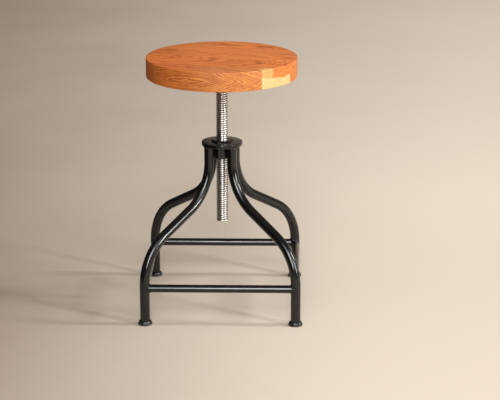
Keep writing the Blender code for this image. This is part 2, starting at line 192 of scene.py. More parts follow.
def mottle_group():
    """Two sizes of cloudy patches, which every hand-finished surface here shows."""
    tree, given, result = new_group(
        "mottle",
        {"Vector": "Vector", "Patch Scale": "Float", "Speck Scale": "Float"},
        {"Patches": "Float", "Specks": "Float"},
    )
    patches = {"Vector": given["Vector"], "Scale": given["Patch Scale"], "Detail": 3.0, "Roughness": 0.55}
    specks = {"Vector": given["Vector"], "Scale": given["Speck Scale"], "Detail": 2.0, "Roughness": 0.5}
    tree.links.new(node(tree, "TexNoise", patches)["Fac"], result["Patches"])
    tree.links.new(node(tree, "TexNoise", specks)["Fac"], result["Specks"])
    return tree


mottle = mottle_group()


def mottled(tree, coordinates, patch_scale, speck_scale):
    inputs = {"Vector": coordinates, "Patch Scale": patch_scale, "Speck Scale": speck_scale}
    return node(tree, "Group", inputs, node_tree=mottle)


def make_black_paint():
    """Black enamel, sprayed by hand: cloudy in its gloss, faintly orange-peeled, scuffed at the floor."""
    thick_paint = (0.003, 0.003, 0.003, 1)
    thin_paint = (0.005, 0.005, 0.005, 1)
    scuffed_paint = (0.014, 0.013, 0.012, 1)
    glossiest = 0.13
    cloudiest = 0.18
    scuff_low = 0.006
    scuff_high = 0.015
    scuff_wander = 0.006
    scuff_dulling = 0.28
    material, tree, shader, place = new_material("black_paint", roughness=0.2, metallic=0.0)
    uneven = mottled(tree, place, patch_scale=28.0, speck_scale=420.0)
    height = node(tree, "SeparateXYZ", {"Vector": place})["Z"]
    height = math_node(tree, "MULTIPLY_ADD", uneven["Specks"], scuff_wander, height)
    scuffed = eased(tree, height, scuff_low, scuff_high, 1.0, 0.0)
    colour = blended(tree, uneven["Patches"], thick_paint, thin_paint)
    colour = blended(tree, scuffed, colour, scuffed_paint)
    gloss = eased(tree, uneven["Patches"], noise_low, noise_high, glossiest, cloudiest)
    gloss = math_node(tree, "MULTIPLY_ADD", scuffed, scuff_dulling, gloss)
    peel = node(tree, "Bump", {"Height": uneven["Specks"], "Strength": 0.005, "Distance": 0.0003})
    tree.links.new(colour, shader["Base Color"])
    tree.links.new(gloss, shader["Roughness"])
    tree.links.new(peel["Normal"], shader["Normal"])
    shader["Specular IOR Level"].default_value = 0.5
    return material


black_paint = make_black_paint()


def painted(obj, *nodes):
    """Paints a piece of the frame, lets it ride on the frame and hides the nodes it stands for."""
    obj.data.materials.clear()
    obj.data.materials.append(black_paint)
    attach(obj, "frame")
    if nodes:
        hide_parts(*nodes)


def foot_place(degrees):
    return about_axis(degrees) @ Matrix.Translation((foot_reach, 0, 0))


weld_height = foot_weld_top - foot_plate
weld_inside = leg_radius + foot_weld_lip
weld_arc = arc((0, 0), 1, 0, 90, foot_weld_steps)
foot_profile = [
    (0.0, 0.0),
    *arc((foot_radius - foot_edge, foot_edge), foot_edge, -90, 0, foot_edge_steps),
    *arc((foot_radius - foot_edge, foot_plate - foot_edge), foot_edge, 0, foot_edge_end, foot_edge_steps),
    *[(weld_inside + x * foot_weld_spread, foot_plate + y * weld_height) for x, y in weld_arc],
    (0.0, foot_weld_top),
]
foot = turned("foot_blank", foot_profile, foot_sides)
for point in foot.data.vertices:
    up = (point.co.z - foot_plate) / weld_height
    if up > 0:
        turn = math.atan2(point.co.y, point.co.x)
        stop = abs(math.sin(foot_lumps * turn / 2 + lump_unevenness * math.sin(2 * turn))) - lump_middle
        drift = lump_drift * math.sin(lump_drifts * turn + 1)
        bulge = math.sin(math.pi * min(up + lump_start, 1))
        swell = 1 + foot_lump * (stop + drift) * bulge / leg_radius
        point.co.x *= swell
        point.co.y *= swell
for corner, degrees in corner_turns.items():
    painted(copied(foot, f"painted_foot_{corner}", foot_place(degrees)), f"foot_{corner}")
bpy.data.objects.remove(foot)

# Legs. Each is one length of 21.3 mm steel pipe, drawn round a former twice by the same angle, so that it
# leaves the hub upright, slants outwards and comes down upright again on its foot. The tops stand a little
# way round the hub from the feet.
hub_low, hub_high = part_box("hub_disc")
hub_radius = (hub_high.x - hub_low.x) / 2
leg_overhang = 0.0015
leg_circle = hub_radius + leg_overhang - leg_radius
leg_top_turn = -6
leg_top = hub_low.z
leg_bottom = foot_plate
leg_straight = 0.033
leg_bend_radius = 0.114
leg_bend = math.radians(62.2)
leg_sides = 40
bend_steps = 28
leg_top_place = (about_axis(leg_top_turn) @ Vector((leg_circle, 0, 0))).xy
leg_way = Vector((foot_reach, 0)) - leg_top_place
leg_span = leg_way.length
leg_turn = math.degrees(math.atan2(leg_way.y, leg_way.x))
bend_out = leg_bend_radius * (1 - math.cos(leg_bend))
bend_drop = leg_bend_radius * math.sin(leg_bend)
slant_out = leg_span - 2 * bend_out
slant_drop = slant_out / math.tan(leg_bend)
upper_bend = leg_top - leg_straight
lower_bend = upper_bend - 2 * bend_drop - slant_drop


def extrude(offset):
    bpy.ops.mesh.extrude_region_move(TRANSFORM_OT_translate={"value": offset})


def bend(centre, axis):
    bpy.ops.mesh.spin(steps=bend_steps, angle=leg_bend, center=centre, axis=axis)


def leg_place(degrees):
    return foot_place(degrees) @ about_axis(leg_turn)


# The leg is modelled with its foot on the axis and its top towards -X
bpy.ops.object.select_all(action="DESELECT")
bpy.ops.mesh.primitive_circle_add(vertices=leg_sides, radius=leg_radius, location=(-leg_span, 0, leg_top))
leg = bpy.context.object
bpy.ops.object.transform_apply()
edit(leg)
extrude((0, 0, upper_bend - leg_top))
bend((leg_bend_radius - leg_span, 0, upper_bend), (0, 1, 0))
extrude((slant_out, 0, -slant_drop))
bend((-leg_bend_radius, 0, lower_bend), (0, -1, 0))
extrude((0, 0, leg_bottom - lower_bend))
bpy.ops.mesh.select_all(action="SELECT")
bpy.ops.mesh.fill_holes(sides=0)
close(leg)
for corner, degrees in corner_turns.items():
    painted(copied(leg, f"painted_leg_{corner}", leg_place(degrees)), f"leg_{corner}")

# Rails. Lengths of 17.2 mm pipe with their ends filed to a saddle that fits the leg, set between
# neighbouring legs at footrest height and welded all round.
rail_low, rail_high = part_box("rail_front")
rail_radius = 0.0086
rail_height = (rail_low.z + rail_high.z) / 2
rail_line = (rail_low.y + rail_high.y) / 2
rail_sides = 36
rail_turns = {"front": 0, "right": 90, "back": 180, "left": 270}


def combine(obj, tool, operation):
    """Cuts or joins a piece with a tool, which is used up."""
    step = obj.modifiers.new(operation.lower(), "BOOLEAN")
    step.operation = operation
    step.object = tool
    bpy.ops.object.select_all(action="DESELECT")
    bpy.context.view_layer.objects.active = obj
    bpy.ops.object.modifier_apply(modifier=step.name)
    bpy.data.objects.remove(tool)
    return obj


bpy.ops.object.select_all(action="DESELECT")
bpy.ops.mesh.primitive_cylinder_add(
    vertices=rail_sides,
    radius=rail_radius,
    depth=-2 * rail_line,
    location=(0, rail_line, rail_height),
    rotation=(0, math.pi / 2, 0),
)
rail = bpy.context.object
bpy.ops.object.transform_apply()
for corner in ("front_left", "front_right"):
    combine(rail, copied(leg, "saddle_tool", leg_place(corner_turns[corner])), "DIFFERENCE")
edit(rail)
close(rail)
for side, degrees in rail_turns.items():
    painted(copied(rail, f"painted_rail_{side}", about_axis(degrees)), f"rail_{side}")
bpy.data.objects.remove(rail)
bpy.data.objects.remove(leg)

# Rail welds. A bead of steel run by hand around each end of each rail, where its saddle meets the leg. It
# is ground nowhere, and painted over with the rest of the frame.
rail_weld = 0.0018
weld_points = 126
points_per_stop = 6
stop_swell = 0.09
drift_swell = 0.06
slow_drifts = 3
quick_drifts = 7
bead_rounding = 3


def weld_bead(name, path, thickness):
    """A weld run by hand along a closed path of closely spaced points, swelling a little at each stop."""
    curve = bpy.data.curves.new(name, "CURVE")
    curve.dimensions = "3D"
    curve.bevel_depth = thickness
    curve.bevel_resolution = bead_rounding
    spline = curve.splines.new("POLY")
    spline.points.add(len(path) - 1)
    spline.use_cyclic_u = True
    for step, (point, place) in enumerate(zip(spline.points, path)):
        stop = math.cos(math.tau * step / points_per_stop)
        slow_drift = math.sin(math.tau * slow_drifts * step / len(path))
        quick_drift = math.sin(math.tau * quick_drifts * step / len(path) + 1)
        point.co = (*place, 1)
        point.radius = 1 + stop_swell * stop + drift_swell * (slow_drift + quick_drift)
    bead = bpy.data.objects.new(name, curve)
    bpy.context.scene.collection.objects.link(bead)
    bpy.ops.object.select_all(action="DESELECT")
    bead.select_set(True)
    bpy.context.view_layer.objects.active = bead
    bpy.ops.object.convert(target="MESH")
    bpy.ops.object.shade_smooth()
    return bpy.context.object


def saddle_path(end):
    """Where the front rail's tube meets the leg at its left end (-1) or right end (1)."""
    path = []
    for step in range(weld_points):
        turn = math.tau * step / weld_points
        across = rail_radius * math.cos(turn)
        up = rail_radius * math.sin(turn)
        along = math.sqrt(leg_radius**2 - across**2)
        path.append((end * (-rail_line - along), rail_line + across, rail_height + up))
    return path


for side, degrees in rail_turns.items():
    for end, word in ((-1, "start"), (1, "end")):
        bead = weld_bead(f"painted_rail_weld_{side}_{word}", saddle_path(end), rail_weld)
        bead.data.transform(about_axis(degrees))
        painted(bead)

# Hub. A disc cut from 8 mm plate, laid on the tops of the legs and welded to each of them from below,
# with a hexagon hole for the nut.
hub_edge = 0.0011
hub_edge_steps = 3
hub_sides = 96
leg_weld = 0.0016
leg_weld_points = 150
hexagon_sides = 6
nut_flats = 0.041
nut_turn = math.radians(10)
nut_corner = nut_flats / 2 / math.cos(math.pi / hexagon_sides)
hub_profile = [
    (0.0, hub_low.z),
    *arc((hub_radius - hub_edge, hub_low.z + hub_edge), hub_edge, -90, 0, hub_edge_steps),
    *arc((hub_radius - hub_edge, hub_high.z - hub_edge), hub_edge, 0, 90, hub_edge_steps),
    (0.0, hub_high.z),
]


def hexagon_bar(name, corner_radius, low, high):
    """A plain hexagon bar about the axis, turned as the nut stands in the hub."""
    bpy.ops.object.select_all(action="DESELECT")
    bpy.ops.mesh.primitive_cylinder_add(
        vertices=hexagon_sides,
        radius=corner_radius,
        depth=high - low,
        location=(0, 0, (low + high) / 2),
        rotation=(0, 0, nut_turn + math.pi / hexagon_sides),
    )
    obj = bpy.context.object
    obj.name = name
    bpy.ops.object.transform_apply()
    return obj


def ring_path(radius, height, points):
    """A level circle about the axis, as closely spaced points."""
    turns = [math.tau * step / points for step in range(points)]
    return [(radius * math.cos(turn), radius * math.sin(turn), height) for turn in turns]


hub = turned("painted_hub", hub_profile, hub_sides)
nut_hole = hexagon_bar("hex_tool", nut_corner, hub_low.z - hub_edge, hub_high.z + hub_edge)
combine(hub, nut_hole, "DIFFERENCE")
edit(hub)
close(hub)
painted(hub, "hub_disc")
leg_weld_path = ring_path(leg_radius, leg_top, leg_weld_points)
for corner, degrees in corner_turns.items():
    bead = weld_bead(f"painted_leg_weld_{corner}", leg_weld_path, leg_weld)
    bead.data.transform(about_axis(degrees) @ Matrix.Translation((*leg_top_place, 0)))
    painted(bead)

# Nut. A long hexagon nut, chamfered at both ends and tapped for the spindle, set through the hub and
# welded round its flats on top.
nut_low, nut_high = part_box("spindle_nut")
spindle_radius = 0.013
nut_chamfer = 0.0019
nut_softening = 0.0004
nut_play = 0.0003
nut_bore = spindle_radius + nut_play
nut_lead_in = 0.0012
nut_weld = 0.0009
nut_weld_points = 24
nut_blank_profile = [
    (0.0, nut_low.z),
    (nut_corner - nut_chamfer, nut_low.z),
    (nut_corner, nut_low.z + nut_chamfer),
    (nut_corner, nut_high.z - nut_chamfer),
    (nut_corner - nut_chamfer, nut_high.z),
    (0.0, nut_high.z),
]
nut_bore_profile = [
    (0.0, nut_low.z - nut_lead_in),
    (nut_bore + 2 * nut_lead_in, nut_low.z - nut_lead_in),
    (nut_bore, nut_low.z + nut_lead_in),
    (nut_bore, nut_high.z - nut_lead_in),
    (nut_bore + 2 * nut_lead_in, nut_high.z + nut_lead_in),
    (0.0, nut_high.z + nut_lead_in),
]
nut = hexagon_bar("painted_nut", nut_corner, nut_low.z, nut_high.z)
combine(nut, turned("nut_blank", nut_blank_profile, hub_sides), "INTERSECT")
combine(nut, turned("nut_bore", nut_bore_profile, hub_sides), "DIFFERENCE")
softened = nut.modifiers.new("softened", "BEVEL")
softened.width = nut_softening
softened.segments = 2
softened.limit_method = "ANGLE"
softened.angle_limit = soft_angle
bpy.ops.object.modifier_apply(modifier=softened.name)
edit(nut)
close(nut)
painted(nut, "spindle_nut")


def hexagon_path(corner_radius, height, points_per_side):
    """A level hexagon about the axis, as closely spaced points."""
    turns = [nut_turn + math.tau / hexagon_sides * tip for tip in range(hexagon_sides + 1)]
    level = [(corner_radius * math.cos(turn), corner_radius * math.sin(turn)) for turn in turns]
    tips = [Vector((x, y, height)) for x, y in level]
    steps = [point / points_per_side for point in range(points_per_side)]
    return [tip.lerp(next_tip, step) for tip, next_tip in zip(tips, tips[1:]) for step in steps]


painted(weld_bead("painted_nut_weld", hexagon_path(nut_corner, hub_high.z, nut_weld_points), nut_weld))

# Spindle. A 26 mm steel bar with a coarse right-hand trapezoidal thread of 5 mm pitch along all of it, its
# lower end chamfered. The crests are rounded, and the steel is lighter and smoother on the crests and
# darker and rougher towards the roots.
spindle_low, spindle_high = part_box("spindle")
thread_pitch = 0.005
thread_depth = 0.00275
thread_root = spindle_radius - thread_depth
thread_crest = 0.00183
thread_flank = math.radians(15)
thread_tip = thread_crest / 2
thread_foot = thread_tip + thread_depth * math.tan(thread_flank)
crest_lean = 30
crest_steps = 6
crest_round = thread_tip / math.sin(math.radians(crest_lean))
thread_steps = 48
spindle_chamfer = 0.0015
end_chamfer = 0.0012
bar_radius = spindle_radius + end_chamfer
first_tooth = spindle_low.z + spindle_chamfer + thread_foot
thread_start = first_tooth - 2 * thread_pitch
thread_turns = math.ceil((spindle_high.z - spindle_low.z) / thread_pitch) + 2
tooth = [
    (thread_root, -thread_pitch / 2),
    (thread_root, -thread_foot),
    *arc((spindle_radius - crest_round, 0.0), crest_round, -crest_lean, crest_lean, crest_steps),
    (thread_root, thread_foot),
    (thread_root, thread_pitch / 2),
]
spindle = drawn("steel_spindle", [(radius, thread_start + rise) for radius, rise in tooth])
bpy.ops.object.mode_set(mode="OBJECT")
winding = spindle.modifiers.new("winding", "SCREW")
winding.axis = "Z"
winding.screw_offset = thread_pitch
winding.iterations = thread_turns
winding.steps = thread_steps
winding.render_steps = thread_steps
winding.use_merge_vertices = True
winding.merge_threshold = same_point
bpy.ops.object.modifier_apply(modifier=winding.name)
edit(spindle)
bpy.ops.mesh.fill_holes(sides=0)
close(spindle)
spindle_profile = [
    (0.0, spindle_low.z),
    (spindle_radius - end_chamfer, spindle_low.z),
    (bar_radius, spindle_low.z + 2 * end_chamfer),
    (bar_radius, spindle_high.z),
    (0.0, spindle_high.z),
]
combine(spindle, turned("spindle_bar", spindle_profile, hub_sides), "INTERSECT")
edit(spindle)
close(spindle)


def distance(tree, x, y):
    """How far a point lies from a middle, given how far it lies off it in two directions."""
    off = node(tree, "CombineXYZ", {"X": x, "Y": y})["Vector"]
    return node(tree, "VectorMath", {0: off}, operation="LENGTH")["Value"]


def make_bright_steel():
    """Turned steel, lighter and smoother on the crests of the thread, darker and rougher towards its
    roots.
    """
    root_dark = (0.20, 0.187, 0.175, 1)
    root_light = (0.36, 0.340, 0.322, 1)
    crest_dark = (0.74, 0.695, 0.655, 1)
    crest_light = (0.88, 0.84, 0.80, 1)
    root_roughness = 0.42
    crest_roughness = 0.34
    crest_share_from = thread_root + 0.0008
    crest_share_to = spindle_radius + 0.0002
    crest_share_wander = 0.0010
    material, tree, shader, place = new_material("bright_steel", roughness=0.28, metallic=1.0)
    uneven = mottled(tree, place, patch_scale=60.0, speck_scale=900.0)
    parts = node(tree, "SeparateXYZ", {"Vector": place})
    radius = distance(tree, parts["X"], parts["Y"])
    wandering = math_node(tree, "MULTIPLY_ADD", uneven["Patches"], crest_share_wander, radius)
    # Lighter on the crests of the thread, darker towards its roots
    crest_share = eased(tree, wandering, crest_share_from, crest_share_to)
    dull = blended(tree, uneven["Specks"], root_dark, root_light)
    bright = blended(tree, uneven["Patches"], crest_dark, crest_light)
    roughness = eased(tree, crest_share, 0.0, 1.0, root_roughness, crest_roughness)
    tree.links.new(blended(tree, crest_share, dull, bright), shader["Base Color"])
    tree.links.new(roughness, shader["Roughness"])
    shader["Anisotropic"].default_value = 0.8
    shader["Anisotropic Rotation"].default_value = 0.25
    return material


bright_steel = make_bright_steel()


def riding_seat(obj, material, node_name):
    """Finishes a piece that turns and rises with the seat."""
    obj.data.materials.clear()
    obj.data.materials.append(material)
    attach(obj, "seat")
    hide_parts(node_name)


riding_seat(spindle, bright_steel, "spindle")

# Seat plate. A disc cut from 5 mm steel, bored for the spindle and left as it came from the mill, with a
# weld run round the spindle from below.
plate_low, plate_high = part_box("seat_plate")
plate_radius = (plate_high.x - plate_low.x) / 2
plate_edge = 0.0007
plate_edge_steps = 2
weld_low, weld_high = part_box("spindle_weld")
weld_thickness = (weld_high.z - weld_low.z) / 2
weld_ring_points = 240
plate_profile = [
    (thread_root, plate_low.z),
    *arc((plate_radius - plate_edge, plate_low.z + plate_edge), plate_edge, -90, 0, plate_edge_steps),
    *arc((plate_radius - plate_edge, plate_high.z - plate_edge), plate_edge, 0, 90, plate_edge_steps),
    (thread_root, plate_high.z),
    (thread_root, plate_low.z),
]


def make_mill_steel():
    """Plain hot-rolled plate: dark, dull and cloudy."""
    dark_scale = (0.20, 0.195, 0.19, 1)
    light_scale = (0.38, 0.37, 0.355, 1)
    smoothest = 0.38
    roughest = 0.56
    material, tree, shader, place = new_material("mill_steel", roughness=0.45, metallic=1.0)
    uneven = mottled(tree, place, patch_scale=24.0, speck_scale=300.0)
    roughness = eased(tree, uneven["Specks"], noise_low, noise_high, smoothest, roughest)
    tree.links.new(blended(tree, uneven["Patches"], dark_scale, light_scale), shader["Base Color"])
    tree.links.new(roughness, shader["Roughness"])
    return material


mill_steel = make_mill_steel()
seat_plate = turned("steel_seat_plate", plate_profile, hub_sides)
riding_seat(seat_plate, mill_steel, "seat_plate")
weld_middle = spindle_radius + weld_thickness / 2
weld_level = plate_low.z - weld_thickness / 2
weld_path = ring_path(weld_middle, weld_level, weld_ring_points)
weld_ring = weld_bead("steel_spindle_weld", weld_path, weld_thickness)
riding_seat(weld_ring, mill_steel, "spindle_weld")

# Seat screws. Four bright pan-head wood screws with a cross recess, driven up by hand through the plate
# into the boards, so that each stops at its own turn.
screw_low, screw_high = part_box("seat_screw_1")
screw_head = 0.00475
screw_head_height = 0.003
screw_head_round = 0.0021
screw_head_steps = 4
screw_shank = 0.0025
screw_tip = 0.005
screw_sides = 40
screw_count = 4
screw_turn = 37
recess_width = 0.0011
recess_length = 0.0052
recess_depth = 0.0016
head_top = screw_low.z + screw_head_height
head_centre = (screw_head - screw_head_round, screw_low.z + screw_head_round)
screw_profile = [
    (0.0, screw_low.z),
    *arc(head_centre, screw_head_round, -90, 0, screw_head_steps),
    (screw_head, head_top),
    (screw_shank, head_top),
    (screw_shank, screw_high.z - screw_tip),
    (0.0, screw_high.z),
]
screw = turned("screw_blank", screw_profile, screw_sides)
for degrees in (0, 90):
    bpy.ops.object.select_all(action="DESELECT")
    bpy.ops.mesh.primitive_cube_add(size=1, location=(0, 0, screw_low.z))
    recess = bpy.context.object
    recess.scale = (recess_length, recess_width, 2 * recess_depth)
    recess.rotation_euler.z = math.radians(degrees)
    bpy.ops.object.transform_apply()
    combine(screw, recess, "DIFFERENCE")
edit(screw)
close(screw)
for number in range(1, screw_count + 1):
    low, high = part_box(f"seat_screw_{number}")
    place = Matrix.Translation(((low.x + high.x) / 2, (low.y + high.y) / 2, 0))
    place = place @ about_axis(screw_turn * number)
    piece = copied(screw, f"steel_screw_{number}", place)
    riding_seat(piece, bright_steel, f"seat_screw_{number}")
bpy.data.objects.remove(screw)

# Seat. Five boards of a warm brown hardwood, glued edge to edge, turned round with a softened edge and
# oiled. Every board is cut from its own part of a log, so the rings run through it in its own way.
seat_low, seat_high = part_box("seat_board_3")
seat_radius = 0.165
seat_edge = 0.0016
seat_edge_steps = 6
seat_sides = 180
board_turn = math.radians(-19)
near_board = 0.063
far_board = 0.018
inner_boards = 3
board_across = Vector((-math.sin(board_turn), math.cos(board_turn), 0))
inner_width = (2 * seat_radius - near_board - far_board) / inner_boards
seams = [near_board - seat_radius + inner_width * seam for seam in range(inner_boards + 1)]
seat_profile = [
    (0.0, seat_low.z),
    *arc((seat_radius - seat_edge, seat_low.z + seat_edge), seat_edge, -90, 0, seat_edge_steps),
    *arc((seat_radius - seat_edge, seat_high.z - seat_edge), seat_edge, 0, 90, seat_edge_steps),
    (0.0, seat_high.z),
]
# How a board lies in its log: where the pith passes it, how the pith drifts and rises along it, how
# squeezed, round, wide and dark the rings are, how far they wander, and where pale sapwood, a pale corner
# or end, dark veins and dark seams show
plain_board = {
    "Log": 0.0,
    "Pith Along": 0.0,
    "Pith Across": 0.0,
    "Pith Height": 0.48,
    "Pith Drift": 0.0,
    "Pith Rise": 0.05,
    "Ring Squeeze": 0.0,
    "Ring Roundness": 2.0,
    "Ring Width": 0.0022,
    "Ring Contrast": 0.55,
    "Wander": 0.014,
    "Sapwood From": 1.0,
    "Pale Corner Across": -1.0,
    "Pale End": 0.0,
    "Vein Along": 1.0,
    "Vein Across": 1.0,
    "Dark Seam Across": 1.0,
}
near_figure = {
    "Log": 1.7,
    "Pith Along": -0.0165,
    "Pith Across": -0.166,
    "Pith Height": 0.540,
    "Pith Drift": -0.10,
    "Pith Rise": 0.0,
    "Ring Squeeze": 9.0,
    "Ring Roundness": 1.12,
    "Ring Width": 0.0023,
    "Ring Contrast": 1.4,
    "Wander": 0.0165,
    "Pale End": 0.3,
}
sapwood_figure = {
    "Log": 3.4,
    "Pith Along": 0.14,
    "Pith Across": -0.033,
    "Pith Height": 0.7837,
    "Pith Rise": 0.10,
    "Wander": 0.006,
    "Sapwood From": 0.249,
    "Pale Corner Across": -0.078,
    "Vein Along": 0.055,
    "Vein Across": -0.080,
}
middle_figure = {
    "Log": 5.1,
    "Pith Across": 0.02,
    "Pith Height": 0.47,
    "Pith Rise": -0.05,
    "Vein Along": -0.13,
    "Vein Across": 0.022,
    "Dark Seam Across": seams[2],
}
back_figure = {
    "Log": 6.8,
    "Pith Across": 0.12,
    "Pith Height": 0.64,
    "Pith Rise": 0.04,
    "Vein Along": 0.075,
    "Vein Across": 0.121,
    "Dark Seam Across": seams[2],
}
far_figure = {"Log": 8.5, "Pith Across": 0.18, "Pith Height": 0.50, "Pith Rise": 0.03}
boards = [near_figure, sapwood_figure, middle_figure, back_figure, far_figure]


def centred(tree, noise):
    """A noise value with its middle moved from a half to nothing."""
    return math_node(tree, "SUBTRACT", noise, 0.5)


def board_figure_group():
    """Growth rings round a curved pith beside or under the board, with fibres and pores along it."""
    heart_light = (0.87, 0.262, 0.054, 1)
    heart_dark = (0.38, 0.062, 0.015, 1)
    sap_light = (0.74, 0.555, 0.282, 1)
    sap_dark = (0.60, 0.35, 0.136, 1)
    between_light = (0.735, 0.402, 0.151, 1)
    between_dark = (0.54, 0.216, 0.074, 1)
    seam_colour = (0.11, 0.035, 0.020, 1)
    rim_oil_and_shade = (0.76, 0.80, 0.70, 1)
    smoothest = 0.42
    roughest = 0.56
    broad_share = 0.20
    fine_share = 0.40
    vein_share = 0.45
    fibre_share = 0.5
    pore_share = 0.25
    pore_sinking = -0.6
    vein_length = 0.065
    vein_width = 0.022
    wood_change = 0.0006
    corner_start = 0.114
    corner_full = 0.130
    pale_end_start = -0.07
    pale_end_full = 0.06
    sap_wander = 0.004
    seam_wander = 0.012
    seam_core = 0.0012
    seam_reach = 0.0065
    seam_strength = 0.8
    seam_start = 0.085
    seam_full = 0.125
    seam_bottom = seat_high.z - 0.012
    seam_top = seat_high.z - 0.002
    sockets = {"Vector": "Vector"} | {name: "Float" for name in plain_board}
    results = {"Colour": "Color", "Roughness": "Float", "Height": "Float"}
    tree, given, result = new_group("board_figure", sockets, results)
    turn = {"Vector": given["Vector"], "Rotation": (0, 0, -board_turn)}
    along_board = node(tree, "Mapping", turn)["Vector"]
    own_place = node(tree, "CombineXYZ", {axis: given["Log"] for axis in "XYZ"})["Vector"]
    in_log = node(tree, "VectorMath", {0: along_board, 1: own_place}, operation="ADD")["Vector"]

    def streaks(along, across, detail):
        """Noise drawn out along the board, at so many patches per metre along and across it."""
        stretched = node(tree, "Mapping", {"Vector": in_log, "Scale": (along, across, across)})["Vector"]
        noise = {"Vector": stretched, "Scale": 1.0, "Detail": detail, "Roughness": 0.6}
        return node(tree, "TexNoise", noise)

    wander = streaks(along=9.0, across=30.0, detail=4.0)["Color"]
    wander = node(tree, "VectorMath", {0: wander, 1: (0.5, 0.5, 0.5)}, operation="SUBTRACT")["Vector"]
    wander = node(tree, "VectorMath", {0: wander, "Scale": given["Wander"]}, operation="SCALE")["Vector"]
    place = node(tree, "VectorMath", {0: along_board, 1: wander}, operation="ADD")["Vector"]
    parts = node(tree, "SeparateXYZ", {"Vector": place})
    along = math_node(tree, "SUBTRACT", parts["X"], given["Pith Along"])
    pith_across = math_node(tree, "MULTIPLY_ADD", along, given["Pith Drift"], given["Pith Across"])
    pith_height = math_node(tree, "MULTIPLY_ADD", along, given["Pith Rise"], given["Pith Height"])
    across = math_node(tree, "SUBTRACT", parts["Y"], pith_across)
    across = math_node(tree, "ABSOLUTE", across)
    squeeze = math_node(tree, "MULTIPLY_ADD", across, given["Ring Squeeze"], 1.0)
    across = math_node(tree, "DIVIDE", across, squeeze)
    height = math_node(tree, "SUBTRACT", parts["Z"], pith_height)
    height = math_node(tree, "ABSOLUTE", height)
    across = math_node(tree, "POWER", across, given["Ring Roundness"])
    height = math_node(tree, "POWER", height, given["Ring Roundness"])
    back = math_node(tree, "DIVIDE", 1.0, given["Ring Roundness"])
    depth = math_node(tree, "POWER", math_node(tree, "ADD", across, height), back)

    rings = math_node(tree, "ADD", math_node(tree, "DIVIDE", depth, given["Ring Width"]), given["Log"])
    years = {"W": rings, "Scale": 1.0, "Detail": 3.0, "Roughness": 0.6}
    ring_line = node(tree, "TexNoise", years, noise_dimensions="1D")["Fac"]
    ring_line = eased(tree, ring_line, low=0.42, high=0.66)
    fading = streaks(along=16.0, across=70.0, detail=2.0)["Fac"]
    fading = eased(tree, fading, low=0.32, high=0.62, to_low=0.65, to_high=1.0)
    ring_line = math_node(tree, "MULTIPLY", ring_line, fading)
    ring_line = math_node(tree, "MULTIPLY", ring_line, given["Ring Contrast"])

    board_place = node(tree, "SeparateXYZ", {"Vector": along_board})
    vein_along = math_node(tree, "SUBTRACT", board_place["X"], given["Vein Along"])
    vein_along = math_node(tree, "DIVIDE", vein_along, vein_length)
    vein_across = math_node(tree, "SUBTRACT", board_place["Y"], given["Vein Across"])
    vein_across = math_node(tree, "DIVIDE", vein_across, vein_width)
    vein_patch = distance(tree, vein_along, vein_across)
    vein_patch = eased(tree, vein_patch, low=0.4, high=1.0, to_low=1.0, to_high=0.0)
    vein_edge = centred(tree, streaks(along=11.0, across=90.0, detail=2.0)["Fac"])
    vein_edge = math_node(tree, "ABSOLUTE", vein_edge)
    veins = eased(tree, vein_edge, low=0.01, high=0.07, to_low=1.0, to_high=0.0)
    veins = math_node(tree, "MULTIPLY", veins, vein_patch)

    broad = streaks(along=3.0, across=60.0, detail=3.0)["Fac"]
    fine = streaks(along=3.2, across=130.0, detail=3.0)["Fac"]
    fibre = streaks(along=14.0, across=900.0, detail=4.0)["Fac"]
    pores = streaks(along=110.0, across=2200.0, detail=1.0)["Fac"]
    pores = eased(tree, pores, low=0.62, high=0.76)
    darkening = [
        (eased(tree, broad, low=0.36, high=0.72), broad_share),
        (eased(tree, fine, low=0.46, high=0.70), fine_share),
        (veins, vein_share),
        (centred(tree, fibre), fibre_share),
        (pores, pore_share),
    ]
    dark = ring_line
    for mark, share in darkening:
        dark = math_node(tree, "MULTIPLY_ADD", mark, share, dark)
    heartwood = blended(tree, dark, heart_light, heart_dark)
    sapwood = blended(tree, dark, sap_light, sap_dark)
    between = blended(tree, dark, between_light, between_dark)

    right_end = eased(tree, board_place["X"], corner_start, corner_full)
    before_edge = math_node(tree, "SUBTRACT", board_place["Y"], given["Pale Corner Across"])
    corner = eased(tree, before_edge, -wood_change, wood_change, 1.0, 0.0)
    corner = math_node(tree, "MULTIPLY", corner, right_end)
    pale_end = eased(tree, board_place["X"], pale_end_start, pale_end_full)
    pale_end = math_node(tree, "MULTIPLY", pale_end, given["Pale End"])
    sap_edge = math_node(tree, "MULTIPLY_ADD", centred(tree, broad), sap_wander, depth)
    sap = math_node(tree, "SUBTRACT", sap_edge, given["Sapwood From"])
    seam_off = math_node(tree, "SUBTRACT", board_place["Y"], given["Dark Seam Across"])
    seam_off = math_node(tree, "MULTIPLY_ADD", centred(tree, broad), seam_wander, seam_off)
    seam_off = math_node(tree, "ABSOLUTE", seam_off)
    seam = eased(tree, seam_off, seam_core, seam_reach, seam_strength, 0.0)
    seam = math_node(tree, "MULTIPLY", seam, eased(tree, board_place["X"], seam_start, seam_full))
    seam = math_node(tree, "MULTIPLY", seam, eased(tree, board_place["Z"], seam_bottom, seam_top))
    colour = blended(tree, math_node(tree, "MAXIMUM", corner, pale_end), heartwood, between)
    colour = blended(tree, eased(tree, sap, -wood_change, wood_change), colour, sapwood)
    colour = blended(tree, seam, colour, seam_colour)
    out = distance(tree, board_place["X"], board_place["Y"])
